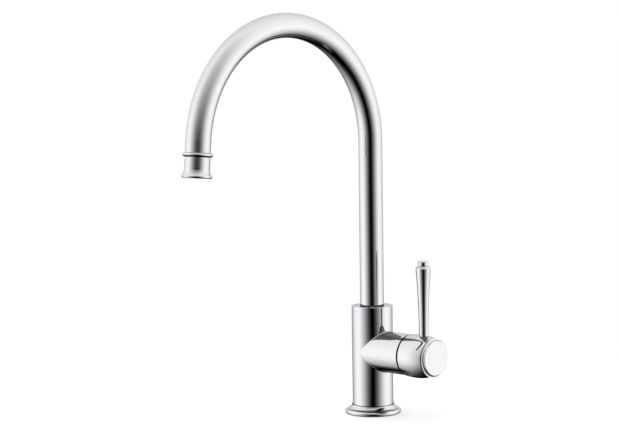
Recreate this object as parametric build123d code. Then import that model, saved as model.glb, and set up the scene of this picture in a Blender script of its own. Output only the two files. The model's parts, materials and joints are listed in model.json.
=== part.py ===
from build123d import *
import math
import os

# Single-lever kitchen mixer with a swivelling gooseneck spout, in millimetres with +Z up.
# The origin is the centre of the base flange's underside, where the tap stands on the sink deck.
# The spout reaches towards -Y, and the side arm with its handle points along +X.

# Clearances
RUNNING_FIT = 0.08        # radial play of a piece that turns or slides in another
SEAT_FIT = 0.05           # radial play of a piece that is screwed, pressed or brazed in place
FACE_FILM = 0.05          # gap between flat faces that slide on each other
SLACK = 0.3               # free space round a piece that must not rub
BALL_GAP = 0.2            # gap between the arm's end and the hub that tilts over it
EDGE_BREAK = 0.3          # chamfer on crisp turned edges

# Spout tube and its arch
TUBE_R = 12.5
TUBE_WALL = 1.5
COLUMN_LENGTH = 171.65    # straight run from the tube's foot to the arch
ARCH_R = 120.4
ARCH_SWEEP = 175.0        # degrees, so that the outlet leans a little outwards
TAIL_LENGTH = 11.6        # straight run from the arch to the outlet collar
SLIP_RING_T = 1.1

# Spout spigot, with its grooves and the lands between them listed from the top of the body down
SPIGOT_WALL = 4.0
SPIGOT_IN_TUBE = 12.0
SPIGOT_END_GAP = 0.5
TOP_LAND = 3.7
GROOVE_LAND = 2.28
SLIDE_RING_H = 4.0
SLIDE_RING_T = 1.2
SLIDE_RING_SPLIT = 1.2
O_RING_CORD_R = 1.0
O_RING_GROOVE_W = 2.6
RETAINING_GROOVE_W = 4.2
RETAINING_GROOVE_DEPTH = 2.0

# Grub screws
SCREW_R = 2.5
SCREW_SOCKET_FLATS = 2.5
SCREW_SOCKET_DEPTH = 3.0
SCREW_TIP_R = 1.8
RETAINING_INSET = 1.0     # the spout's screw ends this far inside the body's surface
HANDLE_SCREW_LENGTH = 8.0
HANDLE_SCREW_TIP = 1.0

# Outlet, measured along the tail of the spout
COLLAR_BEAD = 2.2         # how far the bead stands out from the tube
COLLAR_BEAD_H = 4.4
COLLAR_IN_TUBE = 8.0
COLLAR_NIPPLE_H = 7.2
COLLAR_WALL = 2.5
HOUSING_SEAM = 0.7        # groove between the bead and the housing
HOUSING_H = 19.6
HOUSING_FLARE = 2.6       # how far the lip stands out from the tube
HOUSING_FLARE_H = 9.8     # length of the flare, from the plain neck to the outlet's end
HOUSING_FLARE_SAG = 0.68  # depth of the concave flare below its chord
HOUSING_LIP_H = 2.9
HOUSING_LIP_STEP = 0.58   # the lip swells this much beyond the end of the flare
HOUSING_SHELF_W = 1.3     # width of the shelf that the aerator insert sits on
HOUSING_SHELF_T = 1.6
WASHER_T = 2.0
WASHER_W = 2.7
SCREEN_T = 0.6
INSERT_RIM = 1.6
INSERT_FLOOR_T = 2.4
JET_R = 1.0
JET_EDGE = 0.95           # metal outside the outermost holes of the screen
JET_RINGS = 2

# Base flange and its seal
FLANGE_TOP_Z = 10.0
FLANGE_SEAT_Z = 8.6       # height of the shoulder that the body rests on
FLANGE_LIP = 0.75         # thickness of the lip round the body's foot
FLANGE_FOOT_OUT = 5.5     # the foot stands out this far from the body
FLANGE_CREASE_OUT = 5.3   # so does the crease between the bead and the cove
FLANGE_CREASE_Z = 5.2
FLANGE_QUIRK = 0.6        # width and depth of the fine groove along the crease
FLANGE_BEAD = 2.4         # swell of the bead beyond its chord
FLANGE_COVE = 1.3         # depth of the cove below its chord
SEAL_INSET = 3.9          # metal between the body's foot and the seal
SEAL_W = 2.8
SEAL_T = 1.6

# Body and its waterways
BODY_FOOT_STEP = 3.0      # how far the foot is turned down to enter the flange
BODY_OVER_ARM = 0.2       # the column is this much larger in radius than the arm
JUNCTION_ROUND = 0.8
ARM_Z = 66.6
ARM_WALL = 3.25
SPOUT_FLOOR_RISE = 14.4   # floor of the spout's bore above the arm's axis
FLOOR_WALL = 6.97         # metal between the spout's bore and the cartridge floor
PORT_R = 2.6
INLET_PORT_Y = 7.0        # either side of the cartridge axis
INLET_PORT_RISE = 6.5     # up from the cartridge axis
OUTLET_PORT_DROP = 7.0    # down from the cartridge axis
RISER_X = 5.0
RISER_R = 3.0
WATERWAY_R = 4.0
INLET_R = 4.5
INLET_DEPTH = 14.0
STUD_X = -11.0
STUD_R = 3.4
STUD_DEPTH = 16.0

# Ceramic cartridge, stacked outwards along the arm from its floor
CARTRIDGE_R = 17.5
CARTRIDGE_WALL = 1.9
BASE_T = 4.5
PORT_SEAL_W = 1.6
PORT_SEAL_T = 1.5
PEG_R = 1.5
PEG_LENGTH = 2.4
PEG_Y = 11.5              # either side of the cartridge axis
PEG_DROP = 6.0            # down from the cartridge axis
FIXED_DISC_T = 4.0
MOVING_DISC_T = 4.0
POCKET_R = 6.9
POCKET_DROP = 0.3         # pocket centre below the moving disc's own centre
POCKET_DEPTH = 2.2
CARRIER_T = 6.0
CARRIER_FLAT = 10.2       # half width across the flats that the turret guides
CARRIER_FLOOR = 0.4       # thickness under the socket for the stem's ball
CARRIER_PEG_R = 1.2
CARRIER_PEG_LENGTH = 1.5
CARRIER_PEG_Y = 8.6
TURRET_FLANGE_T = 3.0
TURRET_NECK_H = 10.4
NECK_WALL = 1.8
NECK_H = 6.05
ROOF_T = 2.8
NUT_STEP = 0.5            # the nut's thread is this much larger in radius than the cartridge
NUT_T = 6.5
NUT_W = 3.9               # width of the nut's ring, from the housing's neck to the thread
NUT_NOTCHES = 6
NUT_NOTCH_W = 4.0
NUT_NOTCH_DEPTH = 2.0
NUT_TO_DOME = 0.55
PIVOT_RISE = 7.4          # hinge pin above the turret's underside
PIN_R = 1.5
STEM_HALF = 4.0
STEM_TAIL = 4.5           # how far the stem's square part reaches behind the hinge pin
STEM_BALL_R = 2.6
STEM_BALL_PLAY = 0.25
STEM_BALL_UNDER = 0.4
STEM_NECK_R = 1.5
FLOW_RANGE = 22.0         # degrees that the handle tips from closed to fully open

# Dome cover
DOME_SKIRT_H = 3.6
DOME_SKIRT_WALL = 1.4
DOME_WALL = 2.0

# Handle hub, cap and lever, with the lever's heights taken from the top of the hub
HUB_GAP = 1.8             # visible seam between the arm and the hub
HUB_LENGTH = 29.3
HUB_STEP = 0.6            # the hub's inner end stands out this far from the arm
HUB_WIDEST = 11.5         # widest place of the barrel, from its inner end
HUB_SWELL = 0.6           # radius there, beyond the inner end's
HUB_TAPER = 2.5           # the outer end is this much smaller in radius than the inner end
HUB_END_ROUND = 0.5
HUB_WEB = 1.5             # metal between the stem's socket and the cap's recess
LEVER_INSET = 17.5        # lever axis from the hub's inner end
LEVER_SUNK = 3.4
LEVER_BASE_R = 4.85
LEVER_BASE_RISE = 0.5
LEVER_TAPER_SAG = 0.72    # depth of the hollow taper below its chord
LEVER_SHOULDER_R = 7.8
LEVER_SHOULDER_RISE = 67.9
LEVER_SHOULDER_ROUND = 0.89
LEVER_FINIAL_R = 5.3
LEVER_FINIAL_RISE = 72.1
LEVER_TOP_RISE = 77.0
LEVER_TOP_ROUND = 1.2
LEVER_STUD_R = 3.0
LEVER_STUD_LENGTH = 16.0
LEVER_STUD_DEPTH = 9.5    # part of the stud that is in the hub
CAP_ROOT_INSET = 0.5      # the cap leaves the hub this far inside the hub's end
CAP_BRIM_RISE = 1.1       # its brim stands out this far from the hub's end
CAP_BRIM_H = 2.7          # brim's front above the hub's end
CAP_BRIM_T = 0.4
CAP_COVE = 0.45           # depth of the hollow behind the brim
CAP_FACE_H = 5.1          # cap face above the hub's end
CAP_STEP = 2.4            # the raised face's side lies this far inside the brim
CAP_DISH = 0.75           # depth of the cove from the brim to the raised face
CAP_ROUND = 0.7
CAP_SPIGOT_R = 13.9
CAP_SPIGOT_H = 3.8
CAP_RING_CORD_R = 0.9
MARK_R = 0.9
MARK_DEPTH = 0.4
MARK_Y = 10.7             # either side of the cap's centre

# Radii that follow from the fits
TUBE_BORE_R = TUBE_R - TUBE_WALL
SPIGOT_R = TUBE_BORE_R - SEAT_FIT
SPIGOT_BORE_R = SPIGOT_R - SPIGOT_WALL
SPOUT_BORE_R = SPIGOT_R + RUNNING_FIT
NUT_R = CARTRIDGE_R + NUT_STEP
ARM_R = NUT_R + SEAT_FIT + ARM_WALL
BODY_R = ARM_R + BODY_OVER_ARM
BODY_FOOT_R = BODY_R - BODY_FOOT_STEP
SEAL_R_IN = BODY_FOOT_R + SEAL_INSET
CHAMBER_R = CARTRIDGE_R - CARTRIDGE_WALL
TURRET_R = CHAMBER_R - SLACK
NECK_R_OUT = NUT_R - NUT_W - SLACK
NECK_R_IN = NECK_R_OUT - NECK_WALL
TURRET_NECK_R = NECK_R_IN - RUNNING_FIT
NIPPLE_R = TUBE_BORE_R - SEAT_FIT
AERATOR_R = NIPPLE_R - SEAT_FIT
WASHER_R_IN = AERATOR_R - WASHER_W
SCREEN_R = WASHER_R_IN - SEAT_FIT
JET_PITCH = (SCREEN_R - JET_R - JET_EDGE) / JET_RINGS

# Depths of the spigot's grooves below the top of the body, to the middle of each groove
SLIDE_GROOVE_W = SLIDE_RING_H + 2 * FACE_FILM
SLIDE_RING_1_DEPTH = TOP_LAND + SLIDE_GROOVE_W / 2
RETAINING_DEPTH = SLIDE_RING_1_DEPTH + SLIDE_GROOVE_W / 2 + GROOVE_LAND + RETAINING_GROOVE_W / 2
SLIDE_RING_2_DEPTH = RETAINING_DEPTH + RETAINING_GROOVE_W / 2 + GROOVE_LAND + SLIDE_GROOVE_W / 2
O_RING_1_DEPTH = SLIDE_RING_2_DEPTH + SLIDE_GROOVE_W / 2 + GROOVE_LAND + O_RING_GROOVE_W / 2
O_RING_2_DEPTH = O_RING_1_DEPTH + O_RING_GROOVE_W + GROOVE_LAND
SPIGOT_DEPTH = O_RING_2_DEPTH + O_RING_GROOVE_W / 2 + GROOVE_LAND
SLIDE_RING_DEPTHS = (SLIDE_RING_1_DEPTH, SLIDE_RING_2_DEPTH)
O_RING_DEPTHS = (O_RING_1_DEPTH, O_RING_2_DEPTH)

# Heights on the column
SPOUT_FLOOR_Z = ARM_Z + SPOUT_FLOOR_RISE
SPIGOT_Z = SPOUT_FLOOR_Z + SPIGOT_END_GAP
BODY_TOP_Z = SPIGOT_Z + SPIGOT_DEPTH
RETAINING_Z = BODY_TOP_Z - RETAINING_DEPTH
TUBE_FOOT_Z = BODY_TOP_Z + SLIP_RING_T + FACE_FILM
ARCH_SPRING_Z = TUBE_FOOT_Z + COLUMN_LENGTH

# Stations along the arm
FLOOR_X = SPOUT_BORE_R + FLOOR_WALL
FIXED_X = FLOOR_X + BASE_T
MOVING_X = FIXED_X + FIXED_DISC_T + FACE_FILM
CARRIER_X = MOVING_X + MOVING_DISC_T
BALL_X = CARRIER_X + CARRIER_FLOOR + STEM_BALL_UNDER + STEM_BALL_R
TURRET_X = CARRIER_X + CARRIER_T + FACE_FILM
PIVOT_X = TURRET_X + PIVOT_RISE
ROOF_X = TURRET_X + TURRET_FLANGE_T + FACE_FILM
NUT_X = ROOF_X + ROOF_T
DOME_X = NUT_X + NUT_T + NUT_TO_DOME
ARM_END_X = DOME_X + DOME_SKIRT_H
HUB_X = ARM_END_X + HUB_GAP
HUB_END_X = HUB_X + HUB_LENGTH
LEVER_X = HUB_X + LEVER_INSET
CAP_RECESS_X = HUB_END_X - CAP_SPIGOT_H - SLACK
CAP_RING_X = HUB_END_X - CAP_SPIGOT_H / 2
CAP_FACE_X = HUB_END_X + CAP_FACE_H
STEM_SOCKET_X = CAP_RECESS_X - HUB_WEB
STEM_END_X = STEM_SOCKET_X - SLACK

# The stem's ball carries the moving disc sideways, from half a stroke below the axis to half above it
TIP = math.radians(FLOW_RANGE)
STROKE = (PIVOT_X - BALL_X) * math.sin(TIP)
DISC_Z = -STROKE / 2
MOVING_DISC_R = CHAMBER_R - SLACK - STROKE / 2

# Balls about the handle's pivot: the hub's hollow clears the arm's end, and the dome closes the arm's bore
HOLLOW_R = math.hypot(ARM_END_X - EDGE_BREAK - PIVOT_X, ARM_R) + BALL_GAP
DOME_R = math.hypot(ARM_END_X - PIVOT_X, NUT_R)

# The turret's slot and the dome's opening leave room for the stem as it tips
TURRET_TOP_X = TURRET_X + TURRET_FLANGE_T + TURRET_NECK_H
TURRET_SLOT = (TURRET_TOP_X - PIVOT_X) * math.tan(TIP) + STEM_HALF / math.cos(TIP) + SLACK
DOME_OPENING_R = math.hypot(DOME_R * math.sin(TIP) + STEM_HALF, STEM_HALF) + SLACK

# Heights of the lever's parts above the arm's axis
HUB_TOP = ARM_R + HUB_STEP
HUB_R = HUB_TOP + HUB_SWELL
HUB_END_R = HUB_TOP - HUB_TAPER
LEVER_SEAT = HUB_TOP - LEVER_SUNK
STUD_FOOT = LEVER_SEAT - LEVER_STUD_DEPTH
STUD_TOP = STUD_FOOT + LEVER_STUD_LENGTH

# Stations along the tail of the spout
SEAM_L = TAIL_LENGTH + COLLAR_BEAD_H
NIPPLE_END_L = SEAM_L + COLLAR_NIPPLE_H
HOUSING_L = SEAM_L + HOUSING_SEAM
HOUSING_END_L = HOUSING_L + HOUSING_H
INSERT_L = NIPPLE_END_L + WASHER_T
INSERT_END_L = HOUSING_END_L - HOUSING_SHELF_T


def arch_point(angle):
    """Point on the spout's centre line, at an angle in degrees along the arch from the column."""
    turn = math.radians(angle)
    return Vector(0, -ARCH_R * (1 - math.cos(turn)), ARCH_SPRING_Z + ARCH_R * math.sin(turn))


TAIL_START = arch_point(ARCH_SWEEP)
TAIL_WAY = Vector(0, -math.sin(math.radians(ARCH_SWEEP)), math.cos(math.radians(ARCH_SWEEP)))

# Turned pieces are drawn about the X axis, and these places carry them to their own axes
UPRIGHT = Location((0, 0, 0), (0, -90, 0))
ON_ARM = Location((0, 0, ARM_Z))
ON_LEVER = Location((LEVER_X, 0, ARM_Z)) * UPRIGHT
ON_TAIL = Plane(origin=TAIL_START, x_dir=TAIL_WAY, z_dir=(1, 0, 0)).location
ON_RETAINING_SCREW = Plane(origin=(0, 0, RETAINING_Z), x_dir=(0, 1, 0), z_dir=(0, 0, 1)).location
ON_HANDLE_SCREW = Plane(origin=(LEVER_X, 0, ARM_Z), x_dir=(0, 0, -1), z_dir=(0, 1, 0)).location

# How a box that starts at a station along X is placed, centred in its other two directions
FROM_STATION = (Align.MIN, Align.CENTER, Align.CENTER)


def turned(start, *steps):
    """Turn an outline of (axial, radial) points about X; a pair of points is an arc's middle and end."""
    edges = []
    here = start
    for step in (*steps, start):
        if isinstance(step[0], tuple):
            middle, end = step
            edges.append(ThreePointArc(here, middle, end))
        else:
            end = step
            edges.append(Line(here, end))
        here = end
    return revolve(make_face(edges), Axis.X)


def bowed(start, end, swell):
    """Middle and end of an arc that stands off its chord, to the left of the way from start to end."""
    length = math.dist(start, end)
    middle = (
        (start[0] + end[0]) / 2 - swell * (end[1] - start[1]) / length,
        (start[1] + end[1]) / 2 + swell * (end[0] - start[0]) / length,
    )
    return middle, end


def crowned(start, end):
    """Middle and end of an arc towards -X that runs along the axis at the wider of its ends."""
    length = math.dist(start, end)
    slope = math.asin(abs(end[1] - start[1]) / length)
    return bowed(start, end, -length / 2 * math.tan(slope / 2))


def ball_point(radius, r):
    """Point (axial, radial) on a ball about the handle's pivot, at the given distance from the axis."""
    return PIVOT_X + math.sqrt(radius**2 - r**2), r


def ball_arc(radius, r_from, r_to):
    """Middle and end of an arc on a ball about the handle's pivot."""
    middle_angle = (math.asin(r_from / radius) + math.asin(r_to / radius)) / 2
    return ball_point(radius, radius * math.sin(middle_angle)), ball_point(radius, r_to)


def ring(start, length, outer, inner=0):
    """Plain ring or disc about X."""
    return turned((start, inner), (start, outer), (start + length, outer), (start + length, inner))


def end_edge(piece):
    """Largest round edge at the far end of a turned piece."""
    round_edges = piece.edges().filter_by(lambda edge: edge.is_closed)
    return round_edges.group_by(Axis.X)[-1].sort_by(SortBy.LENGTH)[-1]


def rod(point, way, radius, length):
    """Round bar from a point along a direction, also used as a drill."""
    bar = Cylinder(radius, length, align=(Align.CENTER, Align.CENTER, Align.MIN))
    return Plane(origin=point, z_dir=way) * bar


def o_ring(station, outer, cord_r):
    """Rubber ring about X, with its outer radius given as fitted."""
    return Location((station, 0, 0), (0, 90, 0)) * Torus(outer - cord_r, cord_r)


def group(place, pieces):
    """Separate solids of one kind, carried to their place together."""
    return Part() + [place * piece for piece in pieces]


def grub_screw(tip_station, shank_station, end_station):
    """Socket set screw along +X, with a reduced tip."""
    tip = ring(tip_station, shank_station - tip_station, SCREW_TIP_R)
    shank = ring(shank_station, end_station - shank_station, SCREW_R)
    hexagon = RegularPolygon(SCREW_SOCKET_FLATS / 2, 6, major_radius=False)
    end = Plane(origin=(end_station, 0, 0), z_dir=(-1, 0, 0))
    return tip + shank - extrude(end * hexagon, SCREW_SOCKET_DEPTH)


def both_sides(y, z):
    """The two mirrored places either side of the arm's axis, at the given height from it."""
    return [(-y, z), (y, z)]


INLETS = both_sides(INLET_PORT_Y, INLET_PORT_RISE)
PORTS = [*INLETS, (0, -OUTLET_PORT_DROP)]
PEGS = both_sides(PEG_Y, -PEG_DROP)
MARKS = both_sides(MARK_Y, 0)


def make_body():
    column = UPRIGHT * turned(
        (0, 0),
        (0, BODY_FOOT_R),
        (FLANGE_SEAT_Z, BODY_FOOT_R),
        (FLANGE_SEAT_Z, BODY_R),
        (BODY_TOP_Z - EDGE_BREAK, BODY_R),
        (BODY_TOP_Z, BODY_R - EDGE_BREAK),
        (BODY_TOP_Z, 0),
    )
    arm = ON_ARM * turned(
        (0, 0),
        (0, ARM_R),
        (ARM_END_X - EDGE_BREAK, ARM_R),
        (ARM_END_X, ARM_R - EDGE_BREAK),
        (ARM_END_X, 0),
    )
    body = column + arm
    body = fillet(new_edges(column, arm, combined=body), JUNCTION_ROUND)
    body -= UPRIGHT * ring(SPOUT_FLOOR_Z, BODY_TOP_Z - SPOUT_FLOOR_Z, SPOUT_BORE_R)
    body -= ON_ARM * ring(FLOOR_X, NUT_X - FLOOR_X, CARTRIDGE_R + SEAT_FIT)
    body -= ON_ARM * ring(NUT_X, ARM_END_X - NUT_X, NUT_R + SEAT_FIT)

    for y, z in INLETS:
        body -= rod((RISER_X, y, 0), (0, 0, 1), INLET_R, INLET_DEPTH)
        body -= rod((RISER_X, y, 0), (0, 0, 1), RISER_R, ARM_Z + z + RISER_R)
        body -= rod((RISER_X, y, ARM_Z + z), (1, 0, 0), PORT_R, FLOOR_X - RISER_X)
    outlet_z = ARM_Z - OUTLET_PORT_DROP
    body -= rod((0, 0, outlet_z), (1, 0, 0), PORT_R, FLOOR_X)
    body -= rod((0, 0, outlet_z - PORT_R), (0, 0, 1), WATERWAY_R, SPOUT_FLOOR_Z - outlet_z + PORT_R)

    for y, z in PEGS:
        body -= rod((FLOOR_X, y, ARM_Z + z), (-1, 0, 0), PEG_R + SEAT_FIT, PEG_LENGTH + SLACK)
    body -= rod((STUD_X, 0, 0), (0, 0, 1), STUD_R, STUD_DEPTH)
    body -= ON_RETAINING_SCREW * ring(0, BODY_R, SCREW_R + SEAT_FIT)
    return body


def make_base_flange():
    foot = (0, BODY_R + FLANGE_FOOT_OUT)
    crease_r = BODY_R + FLANGE_CREASE_OUT
    bead_end = (FLANGE_CREASE_Z - FLANGE_QUIRK / 2, crease_r)
    cove_start = (FLANGE_CREASE_Z + FLANGE_QUIRK / 2, crease_r)
    lip = (FLANGE_TOP_Z, BODY_R + SEAT_FIT + FLANGE_LIP)
    flange = UPRIGHT * turned(
        (0, BODY_FOOT_R + SEAT_FIT),
        foot,
        bowed(foot, bead_end, FLANGE_BEAD),
        (FLANGE_CREASE_Z, crease_r - FLANGE_QUIRK),
        cove_start,
        bowed(cove_start, lip, -FLANGE_COVE),
        (FLANGE_TOP_Z, BODY_R + SEAT_FIT),
        (FLANGE_SEAT_Z, BODY_R + SEAT_FIT),
        (FLANGE_SEAT_Z, BODY_FOOT_R + SEAT_FIT),
    )
    groove = UPRIGHT * ring(0, SEAL_T, SEAL_R_IN + SEAL_W + SEAT_FIT, SEAL_R_IN - SEAT_FIT)
    return flange - groove


def make_base_seal():
    return UPRIGHT * ring(0, SEAL_T, SEAL_R_IN + SEAL_W, SEAL_R_IN)


def make_slip_ring():
    return UPRIGHT * ring(BODY_TOP_Z, SLIP_RING_T, TUBE_R, SPOUT_BORE_R)


def make_spout_tube():
    foot = Vector(0, 0, TUBE_FOOT_Z)
    spring = Vector(0, 0, ARCH_SPRING_Z)
    arch = ThreePointArc(spring, arch_point(ARCH_SWEEP / 2), TAIL_START)
    tail = Line(TAIL_START, TAIL_START + TAIL_WAY * TAIL_LENGTH)
    section = Plane(origin=foot) * (Circle(TUBE_R) - Circle(TUBE_BORE_R))
    return sweep(section, Wire([Line(foot, spring), arch, tail]))


def make_spout_spigot():
    length = TUBE_FOOT_Z + SPIGOT_IN_TUBE - SPIGOT_Z
    spigot = ring(SPIGOT_Z, length, SPIGOT_R, SPIGOT_BORE_R)
    grooves = [(RETAINING_DEPTH, RETAINING_GROOVE_W, RETAINING_GROOVE_DEPTH)]
    grooves += [(depth, O_RING_GROOVE_W, 2 * O_RING_CORD_R) for depth in O_RING_DEPTHS]
    grooves += [(depth, SLIDE_GROOVE_W, SLIDE_RING_T) for depth in SLIDE_RING_DEPTHS]
    for depth, width, cut in grooves:
        spigot -= ring(BODY_TOP_Z - depth - width / 2, width, SPIGOT_R, SPIGOT_R - cut)
    return UPRIGHT * spigot


def make_spout_o_rings():
    outer = SPIGOT_R + RUNNING_FIT / 2
    return group(UPRIGHT, [o_ring(BODY_TOP_Z - depth, outer, O_RING_CORD_R) for depth in O_RING_DEPTHS])


def make_spout_slide_rings():
    rings = []
    split = Box(
        SLIDE_RING_H, SLIDE_RING_SPLIT, SPIGOT_R + SLACK, align=(Align.CENTER, Align.CENTER, Align.MIN)
    )
    for depth in SLIDE_RING_DEPTHS:
        middle = BODY_TOP_Z - depth
        inner = SPIGOT_R - SLIDE_RING_T + SEAT_FIT
        whole = ring(middle - SLIDE_RING_H / 2, SLIDE_RING_H, SPIGOT_R + RUNNING_FIT / 2, inner)
        rings.append(whole - Pos(middle, 0, 0) * split)
    return group(UPRIGHT, rings)


def make_spout_retaining_screw():
    tip_r = SPIGOT_R - RETAINING_GROOVE_DEPTH + SLACK
    return ON_RETAINING_SCREW * grub_screw(tip_r, SPOUT_BORE_R + SLACK, BODY_R - RETAINING_INSET)


def make_outlet_collar():
    bore_r = NIPPLE_R - COLLAR_WALL
    bead_start = (TAIL_LENGTH, TUBE_R)
    bead_end = (SEAM_L, TUBE_R)
    return ON_TAIL * turned(
        (TAIL_LENGTH - COLLAR_IN_TUBE, bore_r),
        (TAIL_LENGTH - COLLAR_IN_TUBE, NIPPLE_R),
        (TAIL_LENGTH, NIPPLE_R),
        bead_start,
        bowed(bead_start, bead_end, COLLAR_BEAD),
        (SEAM_L, NIPPLE_R),
        (NIPPLE_END_L, NIPPLE_R),
        (NIPPLE_END_L, bore_r),
    )


def make_aerator_housing():
    lip_r = TUBE_R + HOUSING_FLARE
    flare_start = (HOUSING_END_L - HOUSING_FLARE_H, TUBE_R)
    flare_end = (HOUSING_END_L - HOUSING_LIP_H, lip_r - HOUSING_LIP_STEP)
    lip_middle = (HOUSING_END_L - HOUSING_LIP_H / 2, lip_r)
    return ON_TAIL * turned(
        (HOUSING_L, NIPPLE_R + SEAT_FIT),
        (HOUSING_L, TUBE_R),
        flare_start,
        bowed(flare_start, flare_end, -HOUSING_FLARE_SAG),
        (lip_middle, (HOUSING_END_L, lip_r - HOUSING_LIP_H / 2)),
        (HOUSING_END_L, AERATOR_R - HOUSING_SHELF_W),
        (INSERT_END_L, AERATOR_R - HOUSING_SHELF_W),
        (INSERT_END_L, NIPPLE_R + SEAT_FIT),
    )


def make_aerator_washer():
    return ON_TAIL * ring(NIPPLE_END_L, WASHER_T, AERATOR_R, WASHER_R_IN)


def jet_places():
    """Centres of a hexagonal field of holes, in rings round the middle one."""
    row_step = JET_PITCH * math.sqrt(3) / 2
    for row in range(-JET_RINGS, JET_RINGS + 1):
        count = 2 * JET_RINGS + 1 - abs(row)
        for column in range(count):
            yield (column - (count - 1) / 2) * JET_PITCH, row * row_step


def drilled_plate(start, thickness, radius):
    """Round plate about X with a hexagonal field of holes."""
    plate = ring(start, thickness, radius)
    for y, z in jet_places():
        plate -= rod((start, y, z), (1, 0, 0), JET_R, thickness)
    return plate


def make_inlet_screen():
    return ON_TAIL * drilled_plate(INSERT_L - SCREEN_T, SCREEN_T, SCREEN_R)


def make_aerator_insert():
    rim = ring(INSERT_L, INSERT_END_L - INSERT_L, AERATOR_R, AERATOR_R - INSERT_RIM)
    grid = drilled_plate(INSERT_END_L - INSERT_FLOOR_T, INSERT_FLOOR_T, AERATOR_R)
    return ON_TAIL * (rim + grid)


def make_cartridge_base():
    base = ring(FLOOR_X, BASE_T, CARTRIDGE_R)
    recess_r = PORT_R + PORT_SEAL_W + SEAT_FIT
    for y, z in PORTS:
        base -= rod((FLOOR_X, y, z), (1, 0, 0), PORT_R, BASE_T)
        base -= rod((FLOOR_X, y, z), (1, 0, 0), recess_r, PORT_SEAL_T)
        base -= rod((FIXED_X, y, z), (-1, 0, 0), recess_r, PORT_SEAL_T)
    for y, z in PEGS:
        base += rod((FLOOR_X, y, z), (-1, 0, 0), PEG_R, PEG_LENGTH)
    return ON_ARM * base


def make_seals(start):
    """The rubber rings round the ports, from the given station along the arm."""
    seal = ring(start, PORT_SEAL_T, PORT_R + PORT_SEAL_W, PORT_R)
    return group(ON_ARM, [Pos(0, y, z) * seal for y, z in PORTS])


def make_fixed_disc():
    disc = ring(FIXED_X, FIXED_DISC_T, CHAMBER_R - SLACK)
    for y, z in PORTS:
        disc -= rod((FIXED_X, y, z), (1, 0, 0), PORT_R, FIXED_DISC_T)
    return ON_ARM * disc


def make_moving_disc():
    disc = Pos(0, 0, DISC_Z) * ring(MOVING_X, MOVING_DISC_T, MOVING_DISC_R)
    disc -= rod((MOVING_X, 0, DISC_Z - POCKET_DROP), (1, 0, 0), POCKET_R, POCKET_DEPTH)
    peg_hole_depth = CARRIER_PEG_LENGTH + SEAT_FIT
    for y in (-CARRIER_PEG_Y, CARRIER_PEG_Y):
        disc -= rod((CARRIER_X, y, DISC_Z), (-1, 0, 0), CARRIER_PEG_R + SEAT_FIT, peg_hole_depth)
    return ON_ARM * disc


def make_disc_carrier():
    blank = ring(CARRIER_X, CARRIER_T, MOVING_DISC_R)
    band = Box(2 * (CARRIER_X + CARRIER_T), 2 * CARRIER_FLAT, 2 * MOVING_DISC_R)
    carrier = Pos(0, 0, DISC_Z) * (blank & band)
    socket_r = STEM_BALL_R + STEM_BALL_PLAY
    carrier -= rod((CARRIER_X + CARRIER_FLOOR, 0, 0), (1, 0, 0), socket_r, CARRIER_T)
    for y in (-CARRIER_PEG_Y, CARRIER_PEG_Y):
        carrier += rod((CARRIER_X, y, DISC_Z), (-1, 0, 0), CARRIER_PEG_R, CARRIER_PEG_LENGTH)
    return ON_ARM * carrier


def make_turret():
    fork_x = CARRIER_X + SLACK
    turret = ring(fork_x, TURRET_X + TURRET_FLANGE_T - fork_x, TURRET_R)
    channel = Box(TURRET_X - fork_x, 2 * (CARRIER_FLAT + RUNNING_FIT), 2 * TURRET_R, align=FROM_STATION)
    turret -= Pos(fork_x, 0, 0) * channel
    turret += ring(TURRET_X + TURRET_FLANGE_T, TURRET_NECK_H, TURRET_NECK_R)
    slot = Box(TURRET_TOP_X - TURRET_X, 2 * STEM_HALF + SLACK, 2 * TURRET_SLOT, align=FROM_STATION)
    turret -= Pos(TURRET_X, 0, 0) * slot
    turret -= rod((PIVOT_X, -TURRET_R, 0), (0, 1, 0), PIN_R + SEAT_FIT, 2 * TURRET_R)
    return ON_ARM * turret


def make_hinge_pin():
    half = TURRET_NECK_R - EDGE_BREAK
    return ON_ARM * rod((PIVOT_X, -half, 0), (0, 1, 0), PIN_R, 2 * half)


def make_cartridge_housing():
    wall = ring(FIXED_X, NUT_X - FIXED_X, CARTRIDGE_R, NECK_R_IN)
    wall -= ring(FIXED_X, ROOF_X - FIXED_X, CHAMBER_R)
    return ON_ARM * (wall + ring(NUT_X, NECK_H, NECK_R_OUT, NECK_R_IN))


def make_cartridge_nut():
    nut = ring(NUT_X, NUT_T, NUT_R, NECK_R_OUT + SLACK)
    notch = Pos(NUT_X + NUT_T, NUT_R, 0) * Box(2 * NUT_NOTCH_DEPTH, 2 * NUT_NOTCH_DEPTH, NUT_NOTCH_W)
    for turn in range(NUT_NOTCHES):
        nut -= Rot(360 / NUT_NOTCHES * turn, 0, 0) * notch
    return ON_ARM * nut


def make_dome_cover():
    inner_ball = DOME_R - DOME_WALL
    skirt_r_in = NUT_R - DOME_SKIRT_WALL
    return ON_ARM * turned(
        (DOME_X, skirt_r_in),
        (DOME_X, NUT_R),
        (ARM_END_X, NUT_R),
        ball_arc(DOME_R, NUT_R, DOME_OPENING_R),
        ball_point(inner_ball, DOME_OPENING_R),
        ball_arc(inner_ball, DOME_OPENING_R, skirt_r_in),
    )


def make_cartridge_stem():
    bar_x = PIVOT_X - STEM_TAIL
    stem = Pos(bar_x, 0, 0) * Box(STEM_END_X - bar_x, 2 * STEM_HALF, 2 * STEM_HALF, align=FROM_STATION)
    stem += rod((BALL_X, 0, 0), (1, 0, 0), STEM_NECK_R, bar_x - BALL_X)
    stem += Pos(BALL_X, 0, 0) * Sphere(STEM_BALL_R)
    stem -= rod((PIVOT_X, -STEM_HALF, 0), (0, 1, 0), PIN_R + RUNNING_FIT, 2 * STEM_HALF)
    return ON_ARM * stem


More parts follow.
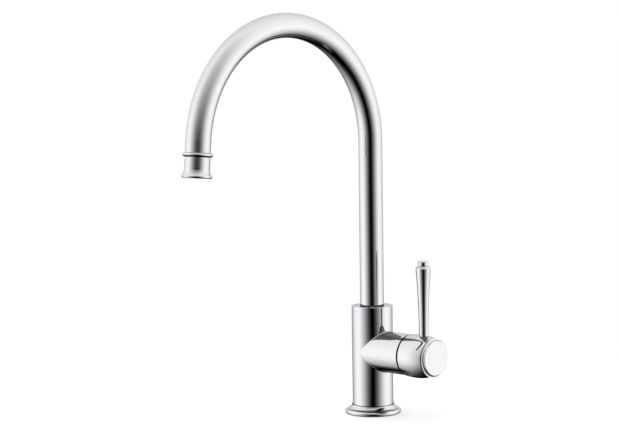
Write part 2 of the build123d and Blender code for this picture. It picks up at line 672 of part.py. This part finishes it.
def make_handle_hub():
    outer_end = (HUB_END_X, HUB_END_R)
    widest = (HUB_X + HUB_WIDEST, HUB_R)
    inner_end = (HUB_X, HUB_TOP)
    rim_r = math.sqrt(HOLLOW_R**2 - (HUB_X - PIVOT_X) ** 2)
    recess_r = CAP_SPIGOT_R + SEAT_FIT
    hub = turned(
        (CAP_RECESS_X, 0),
        (CAP_RECESS_X, recess_r),
        (HUB_END_X, recess_r),
        outer_end,
        crowned(outer_end, widest),
        crowned(widest, inner_end),
        (HUB_X, rim_r),
        ball_arc(HOLLOW_R, rim_r, 0),
    )
    hub = fillet(end_edge(hub), HUB_END_ROUND)
    socket_width = 2 * (STEM_HALF + SEAT_FIT)
    hub -= Pos(PIVOT_X, 0, 0) * Box(STEM_SOCKET_X - PIVOT_X, socket_width, socket_width, align=FROM_STATION)
    hub = ON_ARM * hub
    hub -= ON_LEVER * ring(LEVER_SEAT, LEVER_SUNK + HUB_SWELL, LEVER_BASE_R + SEAT_FIT)
    hub -= ON_LEVER * ring(STUD_FOOT, LEVER_STUD_LENGTH, LEVER_STUD_R + SEAT_FIT)
    hub -= ON_HANDLE_SCREW * ring(0, HUB_R, SCREW_R + SEAT_FIT)
    return hub


def make_lever():
    base = (HUB_TOP + LEVER_BASE_RISE, LEVER_BASE_R)
    shoulder = (HUB_TOP + LEVER_SHOULDER_RISE, LEVER_SHOULDER_R)
    finial = (HUB_TOP + LEVER_FINIAL_RISE, LEVER_FINIAL_R)
    top = HUB_TOP + LEVER_TOP_RISE
    lever = turned(
        (LEVER_SEAT, 0),
        (LEVER_SEAT, LEVER_BASE_R),
        base,
        bowed(base, shoulder, -LEVER_TAPER_SAG),
        bowed(shoulder, finial, LEVER_SHOULDER_ROUND),
        (top, LEVER_FINIAL_R),
        (top, 0),
    )
    lever = fillet(end_edge(lever), LEVER_TOP_ROUND)
    lever -= ring(LEVER_SEAT, STUD_TOP + SLACK - LEVER_SEAT, LEVER_STUD_R + SEAT_FIT)
    return ON_LEVER * lever


def make_lever_stud():
    return ON_LEVER * ring(STUD_FOOT, LEVER_STUD_LENGTH, LEVER_STUD_R)


def make_handle_screw():
    shank = STEM_HALF + HANDLE_SCREW_TIP
    return ON_HANDLE_SCREW * grub_screw(STEM_HALF, shank, STEM_HALF + HANDLE_SCREW_LENGTH)


def make_hub_cap():
    root = (HUB_END_X, HUB_END_R - CAP_ROOT_INSET)
    brim_x = HUB_END_X + CAP_BRIM_H
    brim_r = HUB_END_R + CAP_BRIM_RISE
    brim = (brim_x, brim_r)
    side_r = brim_r - CAP_STEP
    side = (CAP_FACE_X - CAP_ROUND, side_r)
    corner = CAP_ROUND * (1 - math.sqrt(0.5))
    cap = turned(
        (HUB_END_X - CAP_SPIGOT_H, 0),
        (HUB_END_X - CAP_SPIGOT_H, CAP_SPIGOT_R),
        (HUB_END_X, CAP_SPIGOT_R),
        root,
        bowed(root, (brim_x - CAP_BRIM_T, brim_r), -CAP_COVE),
        brim,
        bowed(brim, side, -CAP_DISH),
        ((CAP_FACE_X - corner, side_r - corner), (CAP_FACE_X, side_r - CAP_ROUND)),
        (CAP_FACE_X, 0),
    )
    groove_half = CAP_RING_CORD_R + SEAT_FIT
    groove_floor_r = CAP_SPIGOT_R - 2 * CAP_RING_CORD_R
    cap -= ring(CAP_RING_X - groove_half, 2 * groove_half, CAP_SPIGOT_R, groove_floor_r)
    return ON_ARM * cap - make_index_marks()


def make_cap_o_ring():
    return ON_ARM * o_ring(CAP_RING_X, CAP_SPIGOT_R + SEAT_FIT / 2, CAP_RING_CORD_R)


def make_index_marks():
    marks = [rod((CAP_FACE_X, y, z), (-1, 0, 0), MARK_R, MARK_DEPTH) for y, z in MARKS]
    return group(ON_ARM, marks)


NODES = {
    "body": make_body(),
    "base_flange": make_base_flange(),
    "base_seal": make_base_seal(),
    "slip_ring": make_slip_ring(),
    "spout_retaining_screw": make_spout_retaining_screw(),
    "spout_tube": make_spout_tube(),
    "spout_spigot": make_spout_spigot(),
    "spout_o_rings": make_spout_o_rings(),
    "spout_slide_rings": make_spout_slide_rings(),
    "outlet_collar": make_outlet_collar(),
    "aerator_housing": make_aerator_housing(),
    "aerator_washer": make_aerator_washer(),
    "inlet_screen": make_inlet_screen(),
    "aerator_insert": make_aerator_insert(),
    "cartridge_base": make_cartridge_base(),
    "port_seals": make_seals(FLOOR_X),
    "disc_seals": make_seals(FIXED_X - PORT_SEAL_T),
    "fixed_disc": make_fixed_disc(),
    "cartridge_housing": make_cartridge_housing(),
    "cartridge_nut": make_cartridge_nut(),
    "dome_cover": make_dome_cover(),
    "moving_disc": make_moving_disc(),
    "disc_carrier": make_disc_carrier(),
    "turret": make_turret(),
    "hinge_pin": make_hinge_pin(),
    "cartridge_stem": make_cartridge_stem(),
    "handle_hub": make_handle_hub(),
    "lever": make_lever(),
    "lever_stud": make_lever_stud(),
    "handle_screw": make_handle_screw(),
    "hub_cap": make_hub_cap(),
    "cap_o_ring": make_cap_o_ring(),
    "index_marks": make_index_marks(),
}

os.makedirs("parts", exist_ok=True)
for name, piece in NODES.items():
    export_step(piece, f"parts/{name}.step")
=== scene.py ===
import json
import math

import bmesh
import bpy
from mathutils import Matrix, Vector


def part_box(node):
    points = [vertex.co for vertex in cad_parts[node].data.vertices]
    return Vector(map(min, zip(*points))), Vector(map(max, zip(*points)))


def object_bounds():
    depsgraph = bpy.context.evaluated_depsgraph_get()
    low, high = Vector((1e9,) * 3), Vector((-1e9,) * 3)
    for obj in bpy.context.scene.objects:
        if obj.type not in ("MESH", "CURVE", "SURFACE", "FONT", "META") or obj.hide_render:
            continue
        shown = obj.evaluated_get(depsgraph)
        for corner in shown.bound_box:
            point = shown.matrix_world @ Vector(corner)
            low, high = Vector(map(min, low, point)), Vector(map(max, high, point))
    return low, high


# Finishes, studio and camera for the single-lever kitchen mixer, in metres with +Z up.
# The CAD pieces keep their shapes, and each takes the finish of its material slot.

# Camera, fitted to the outline of the tap in the photograph
IMAGE_WIDTH = 620                        # pixels
FOCAL_LENGTH = 1953.0                    # pixels
SENSOR_WIDTH = 36.0                      # millimetres
CAMERA_BEARING = math.radians(43.203)    # from -Y, where the spout points, towards the handle
CAMERA_ELEVATION = math.radians(5.099)
CAMERA_DISTANCE = 2.0494
CAMERA_CENTRE = Vector((0, 0, 0.19916))  # the point that the camera's place is measured from
CAMERA_PAN = math.radians(1.796)         # pan and tilt turn it from looking straight at that point
CAMERA_TILT = math.radians(-0.379)
CAMERA_ROLL = math.radians(-0.772)

# Studio
ROOM_LIGHT = 0.88         # what the white room gives to matt surfaces
LAMP_POWER = 1.5          # watts
LAMP_SIZE = 0.9
LAMP_DISTANCE = 1.2
LAMP_ELEVATION = math.radians(55)
LAMP_TURN = math.radians(-65)            # from the camera's bearing
ROUND_SEGMENTS = 128      # steps round the floor and the cloth
FLOOR_R = 0.55
FLOOR_FADE_START = 0.25   # the floor thins out from here to its edge
FLOOR_COLOR = (0.9, 0.9, 0.9, 1)
FLOOR_GLOW = 0.3          # lifts the floor to the white of the room, for the camera alone

# Dark cloth hung round the object, which only its reflections show
CLOTH_R = 10.0
CLOTH_RINGS = 64
FRONT_SHAPE = 2.5         # power of the sine that lets light in from the sides of the front cloth
BACK_SHAPE = 2.0          # power of the cosine that thins the back cloth towards its sides
BACK_THIN = 0.33          # share of light that the back cloth stops above the horizon
BACK_TOP = 10.0           # elevation in degrees where the back cloth starts to thicken downwards
BACK_BOTTOM = -22.0       # elevation where it is solid
CLOTH_TOP = 90.0          # elevation where front and back cloth have thinned out
GROUND_TOP = -8.0         # elevation where the ground cloth starts
GROUND_BOTTOM = -80.0     # elevation where it is solid
ZENITH_DARKENING = 0.18   # share of light that is missing straight above
FIRST_REFLECTION = 1.0    # glossy depth of a plain reflection
SECOND_REFLECTION = 2.0   # glossy depth of a reflection in a reflection
DEEP_LIGHT = 0.2          # share of light that is left in a reflection in a reflection

# Painted shade in the seams of the chrome: a near-black colour stands in for the shadow in the gaps
PAINTED_SHADE_COLOR = (0.015, 0.015, 0.018, 1)
PAINTED_SHADE_EDGE = 0.00055       # how far the painted shade of the seam by the handle reaches onto the edges beside it
OUTLET_PAINTED_SHADE = (0.0007, 0.0023)           # painted shade above the top of the aerator's housing, on the foot of the bead
OUTLET_LEAN = math.radians(5)            # the spout's arch stops this short of a half turn
FLANGE_PAINTED_SHADE_H = 0.0004    # painted shade from the top of the flange down

# Finish of each material slot: the tone lies between dark and light in patches, and the relief has a finer
# grain, all in metres. A name with a capital is one of the shader's sockets.
FINISHES = {
    "chrome": dict(
        dark=(0.91, 0.915, 0.92), light=(0.94, 0.94, 0.945), patch=0.02,
        roughness=(0.015, 0.03), grain=0.003, relief=2e-7,
        Metallic=1.0, Specular_Tint=(0.86, 0.855, 0.99, 1),
    ),
    "black_rubber": dict(
        dark=(0.018, 0.018, 0.018), light=(0.035, 0.034, 0.033), patch=0.004,
        roughness=(0.55, 0.75), grain=0.0004, relief=2e-5,
    ),
    "dark_plastic": dict(
        dark=(0.06, 0.062, 0.08), light=(0.075, 0.078, 0.1), patch=0.004,
        roughness=(0.06, 0.12), grain=0.0005, relief=2e-6,
        IOR=2.2,
    ),
    "white_plastic": dict(
        dark=(0.80, 0.80, 0.78), light=(0.87, 0.87, 0.85), patch=0.004,
        roughness=(0.4, 0.55), grain=0.0005, relief=1e-5,
    ),
    "grey_plastic": dict(
        dark=(0.50, 0.51, 0.53), light=(0.58, 0.59, 0.61), patch=0.003,
        roughness=(0.35, 0.5), grain=0.0005, relief=1e-5,
    ),
    "cartridge_plastic": dict(
        dark=(0.56, 0.62, 0.69), light=(0.66, 0.72, 0.79), patch=0.002,
        roughness=(0.4, 0.6), grain=0.0003, relief=1e-5,
    ),
    "ceramic": dict(
        dark=(0.88, 0.86, 0.82), light=(0.94, 0.92, 0.88), patch=0.003,
        roughness=(0.12, 0.22), grain=0.0004, relief=3e-6,
    ),
    "brass": dict(
        dark=(0.74, 0.55, 0.26), light=(0.84, 0.66, 0.36), patch=0.005,
        roughness=(0.22, 0.4), grain=0.0003, relief=6e-6,
        Metallic=1.0,
    ),
    "steel": dict(
        dark=(0.55, 0.55, 0.56), light=(0.66, 0.66, 0.67), patch=0.002,
        roughness=(0.25, 0.4), grain=0.0003, relief=6e-6,
        Metallic=1.0,
    ),
    "mark_paint": dict(
        dark=(0.80, 0.80, 0.82), light=(0.85, 0.85, 0.87), patch=0.001,
        roughness=(0.3, 0.4), grain=0.0004, relief=1e-5,
    ),
}
ROUGHNESS_PATCHES = 3     # patches of roughness across one of tone
NOISE_RANGE = (0.3, 0.7)  # where nearly all values of a noise texture lie

# Places of a Mix node's colour sockets
MIX_FACTOR = 0
MIX_FIRST = 6
MIX_SECOND = 7
MIX_RESULT = 2

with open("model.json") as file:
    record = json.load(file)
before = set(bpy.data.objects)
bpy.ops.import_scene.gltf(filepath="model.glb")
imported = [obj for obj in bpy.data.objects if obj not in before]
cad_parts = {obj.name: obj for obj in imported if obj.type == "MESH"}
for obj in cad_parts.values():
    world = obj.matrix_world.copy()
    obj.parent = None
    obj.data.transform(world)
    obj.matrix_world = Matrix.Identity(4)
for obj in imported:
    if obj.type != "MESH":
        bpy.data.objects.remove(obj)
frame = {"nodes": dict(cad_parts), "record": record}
cad_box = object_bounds()


def smooth_step(value, start, end):
    """0 before start, 1 after end, and a soft rise between them."""
    share = min(max((value - start) / (end - start), 0), 1)
    return share * share * (3 - 2 * share)


def heading(bearing, elevation):
    """Unit vector at a bearing from -Y towards +X, and an elevation."""
    level = math.cos(elevation)
    return Vector((math.sin(bearing) * level, -math.cos(bearing) * level, math.sin(elevation)))


def add_node(tree, kind, sockets=None, **settings):
    """Add a shader node; a socket's value is a constant or another node's output."""
    node = tree.nodes.new("ShaderNode" + kind)
    for name, value in settings.items():
        setattr(node, name, value)
    for name, value in (sockets or {}).items():
        if isinstance(value, bpy.types.NodeSocket):
            tree.links.new(value, node.inputs[name])
        else:
            node.inputs[name].default_value = value
    return node


def place_camera():
    """Camera at the place and with the lean that the photograph was taken from."""
    camera = bpy.data.cameras.new("camera")
    camera.sensor_width = SENSOR_WIDTH
    camera.lens = FOCAL_LENGTH * SENSOR_WIDTH / IMAGE_WIDTH
    holder = bpy.data.objects.new("camera", camera)
    bpy.context.scene.collection.objects.link(holder)
    turn = Matrix.Rotation(CAMERA_BEARING + CAMERA_PAN, 4, "Z")
    tilt = Matrix.Rotation(math.pi / 2 - CAMERA_ELEVATION - CAMERA_TILT, 4, "X")
    roll = Matrix.Rotation(CAMERA_ROLL, 4, "Z")
    place = CAMERA_CENTRE + CAMERA_DISTANCE * heading(CAMERA_BEARING, CAMERA_ELEVATION)
    holder.matrix_world = Matrix.Translation(place) @ turn @ tilt @ roll
    bpy.context.scene.camera = holder


def light_room():
    """White room for the camera and for reflections, and a plain soft light for matt surfaces."""
    world = bpy.data.worlds.new("room")
    bpy.context.scene.world = world
    world.use_nodes = True
    tree = world.node_tree
    path = add_node(tree, "LightPath").outputs
    seen = path["Is Camera Ray"]
    for ray in ("Is Glossy Ray", "Is Transmission Ray"):
        seen = add_node(tree, "Math", {0: seen, 1: path[ray]}, operation="ADD", use_clamp=True).outputs[0]
    strength = add_node(tree, "MapRange", {"Value": seen, "To Min": ROOM_LIGHT, "To Max": 1.0})
    background = tree.nodes["Background"]
    background.inputs["Color"].default_value = (1, 1, 1, 1)
    tree.links.new(strength.outputs["Result"], background.inputs["Strength"])

    lamp = bpy.data.lights.new("soft_lamp", "AREA")
    lamp.energy = LAMP_POWER
    lamp.size = LAMP_SIZE
    holder = bpy.data.objects.new("soft_lamp", lamp)
    bpy.context.scene.collection.objects.link(holder)
    way = heading(CAMERA_BEARING + LAMP_TURN, LAMP_ELEVATION)
    holder.location = CAMERA_CENTRE + LAMP_DISTANCE * way
    holder.rotation_euler = way.to_track_quat("Z", "Y").to_euler()
    holder.visible_glossy = False


def light_past_cloth(way):
    """Share of the white room that reaches the object from a direction."""
    bearing = math.atan2(way.x, -way.y) - CAMERA_BEARING
    elevation = math.degrees(math.asin(way.z))
    if math.cos(bearing) > 0:
        upright = 1 - abs(math.sin(bearing)) ** FRONT_SHAPE
    else:
        thickening = smooth_step(-elevation, -BACK_TOP, -BACK_BOTTOM)
        upright = abs(math.cos(bearing)) ** BACK_SHAPE * (BACK_THIN + (1 - BACK_THIN) * thickening)
    upright *= 1 - max(elevation, 0) / CLOTH_TOP
    ground = smooth_step(-elevation, -GROUND_TOP, -GROUND_BOTTOM)
    zenith = ZENITH_DARKENING * max(way.z, 0)
    return (1 - upright) * (1 - ground) * (1 - zenith)


def hang_cloth():
    """Gauze ball whose thickness varies, dark towards the camera, the ground and the back."""
    shell = bmesh.new()
    bmesh.ops.create_uvsphere(shell, u_segments=ROUND_SEGMENTS, v_segments=CLOTH_RINGS, radius=CLOTH_R)
    layer = shell.verts.layers.float.new("light")
    for vertex in shell.verts:
        vertex[layer] = light_past_cloth(vertex.co.normalized())
    mesh = bpy.data.meshes.new("dark_cloth")
    shell.to_mesh(mesh)
    shell.free()
    mesh.shade_smooth()
    cloth = bpy.data.objects.new("dark_cloth", mesh)
    cloth.location = CAMERA_CENTRE
    bpy.context.scene.collection.objects.link(cloth)
    for ray in ("camera", "diffuse", "transmission", "volume_scatter", "shadow"):
        setattr(cloth, "visible_" + ray, False)

    gauze = bpy.data.materials.new("black_gauze")
    gauze.use_nodes = True
    tree = gauze.node_tree
    tree.nodes.clear()
    light = add_node(tree, "Attribute", attribute_name="light").outputs["Fac"]
    dark = add_node(tree, "Emission", {"Color": (0, 0, 0, 1)}).outputs["Emission"]
    clear = add_node(tree, "BsdfTransparent").outputs["BSDF"]
    depth = add_node(tree, "LightPath").outputs["Glossy Depth"]
    depths = {"Value": depth, "From Min": FIRST_REFLECTION, "From Max": SECOND_REFLECTION}
    share = add_node(tree, "MapRange", {**depths, "To Min": 1.0, "To Max": DEEP_LIGHT}).outputs["Result"]
    passed = add_node(tree, "Math", {0: light, 1: share}, operation="MULTIPLY").outputs[0]
    mixed = add_node(tree, "MixShader", {"Fac": passed, 1: dark, 2: clear})
    add_node(tree, "OutputMaterial", {"Surface": mixed.outputs["Shader"]})
    mesh.materials.append(gauze)


def lay_floor():
    """White floor under the tap that keeps its shadow and thins out into the white of the room."""
    disc = bmesh.new()
    bmesh.ops.create_circle(disc, cap_ends=True, segments=ROUND_SEGMENTS, radius=FLOOR_R)
    mesh = bpy.data.meshes.new("floor")
    disc.to_mesh(mesh)
    disc.free()
    floor = bpy.data.objects.new("floor", mesh)
    floor.location.z = cad_box[0][2]
    bpy.context.scene.collection.objects.link(floor)
    floor.visible_glossy = False

    paper = bpy.data.materials.new("white_paper")
    paper.use_nodes = True
    tree = paper.node_tree
    tree.nodes.clear()
    place = add_node(tree, "TexCoord").outputs["Object"]
    away = add_node(tree, "VectorMath", {0: place}, operation="LENGTH").outputs["Value"]
    cover = add_node(
        tree,
        "MapRange",
        {"Value": away, "From Min": FLOOR_FADE_START, "From Max": FLOOR_R, "To Min": 1.0, "To Max": 0.0},
        interpolation_type="SMOOTHSTEP",
    ).outputs["Result"]
    camera_ray = add_node(tree, "LightPath").outputs["Is Camera Ray"]
    glow_level = add_node(tree, "MapRange", {"Value": camera_ray, "To Max": FLOOR_GLOW}).outputs["Result"]
    matt = add_node(tree, "BsdfDiffuse", {"Color": FLOOR_COLOR}).outputs["BSDF"]
    glow = add_node(tree, "Emission", {"Strength": glow_level}).outputs["Emission"]
    white = add_node(tree, "AddShader", {0: matt, 1: glow}).outputs["Shader"]
    clear = add_node(tree, "BsdfTransparent").outputs["BSDF"]
    mixed = add_node(tree, "MixShader", {"Fac": cover, 1: clear, 2: white})
    add_node(tree, "OutputMaterial", {"Surface": mixed.outputs["Shader"]})
    mesh.materials.append(paper)


def noise(tree, size):
    """Even noise from 0 to 1, with features of about the given size in metres."""
    place = add_node(tree, "TexCoord").outputs["Object"]
    return add_node(tree, "TexNoise", {"Vector": place, "Scale": 1 / size}).outputs["Fac"]


def levels(tree, value, low, high):
    """Carries a noise value to the range from low to high."""
    start, end = NOISE_RANGE
    sockets = {"Value": value, "From Min": start, "From Max": end, "To Min": low, "To Max": high}
    return add_node(tree, "MapRange", sockets).outputs["Result"]


def tones(tree, value, first, second):
    """Colour between two others by a value; each is a constant or a node's output."""
    sockets = {MIX_FACTOR: value, MIX_FIRST: first, MIX_SECOND: second}
    return add_node(tree, "Mix", sockets, data_type="RGBA").outputs[MIX_RESULT]


def band(tree, axis, start, end):
    """1 between two places along an axis, and 0 outside them."""
    place = add_node(tree, "TexCoord").outputs["Object"]
    along = add_node(tree, "VectorMath", {0: place, 1: axis}, operation="DOT_PRODUCT").outputs["Value"]
    sockets = {0: along, 1: (start + end) / 2, 2: (end - start) / 2}
    return add_node(tree, "Math", sockets, operation="COMPARE").outputs[0]


def finish(name, dark, light, patch, roughness, grain, relief, painted_shade=None, **constants):
    """Material with a patchy tone, uneven roughness, a fine relief and perhaps a band of painted shade at
    a seam.
    """
    material = bpy.data.materials.new(name)
    material.use_nodes = True
    tree = material.node_tree
    shader = tree.nodes["Principled BSDF"]
    color = tones(tree, noise(tree, patch), (*dark, 1), (*light, 1))
    if painted_shade:
        # painted shade: the band along the seam takes the near-black colour
        color = tones(tree, band(tree, *painted_shade), color, PAINTED_SHADE_COLOR)
    tree.links.new(color, shader.inputs["Base Color"])
    uneven = levels(tree, noise(tree, patch / ROUGHNESS_PATCHES), *roughness)
    tree.links.new(uneven, shader.inputs["Roughness"])
    bump = add_node(tree, "Bump", {"Height": noise(tree, grain), "Distance": relief})
    tree.links.new(bump.outputs["Normal"], shader.inputs["Normal"])
    for socket, value in constants.items():
        shader.inputs[socket.replace("_", " ")].default_value = value
    return material


def dress(node, material):
    """Give a CAD piece one material all over."""
    piece = frame["nodes"][node]
    piece.data.materials.clear()
    piece.data.materials.append(material)


materials = {slot: finish(slot, **look) for slot, look in FINISHES.items()}
for subpart in frame["record"]["subparts"]:
    dress(subpart["node"], materials[subpart["material_slot"]])

# Painted shade in the seams, where the gaps fall into shadow: between arm and hub, under the bead of the
# outlet, and on the flange
arm_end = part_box("body")[1].x
hub_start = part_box("handle_hub")[0].x
arm_painted_shade = ((1, 0, 0), arm_end - PAINTED_SHADE_EDGE, hub_start + PAINTED_SHADE_EDGE)
outlet_axis = Vector((0, math.sin(OUTLET_LEAN), math.cos(OUTLET_LEAN)))
housing_top = max(outlet_axis.dot(vertex.co) for vertex in frame["nodes"]["aerator_housing"].data.vertices)
outlet_painted_shade = (outlet_axis, *(housing_top + height for height in OUTLET_PAINTED_SHADE))
flange_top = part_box("base_flange")[1].z
flange_painted_shade = ((0, 0, 1), flange_top - FLANGE_PAINTED_SHADE_H, flange_top + FLANGE_PAINTED_SHADE_H)
painted_shades = {
    "chrome_painted_shade_at_arm_seam": (arm_painted_shade, ("body", "handle_hub")),
    "chrome_painted_shade_at_outlet_seam": (outlet_painted_shade, ("outlet_collar", "aerator_housing")),
    "chrome_painted_shade_at_flange_seam": (flange_painted_shade, ("base_flange",)),
}
for name, (painted_shade, nodes) in painted_shades.items():
    material = finish(name, painted_shade=painted_shade, **FINISHES["chrome"])
    for node in nodes:
        dress(node, material)

place_camera()
light_room()
hang_cloth()
lay_floor()
bpy.context.scene.view_settings.view_transform = "Standard"
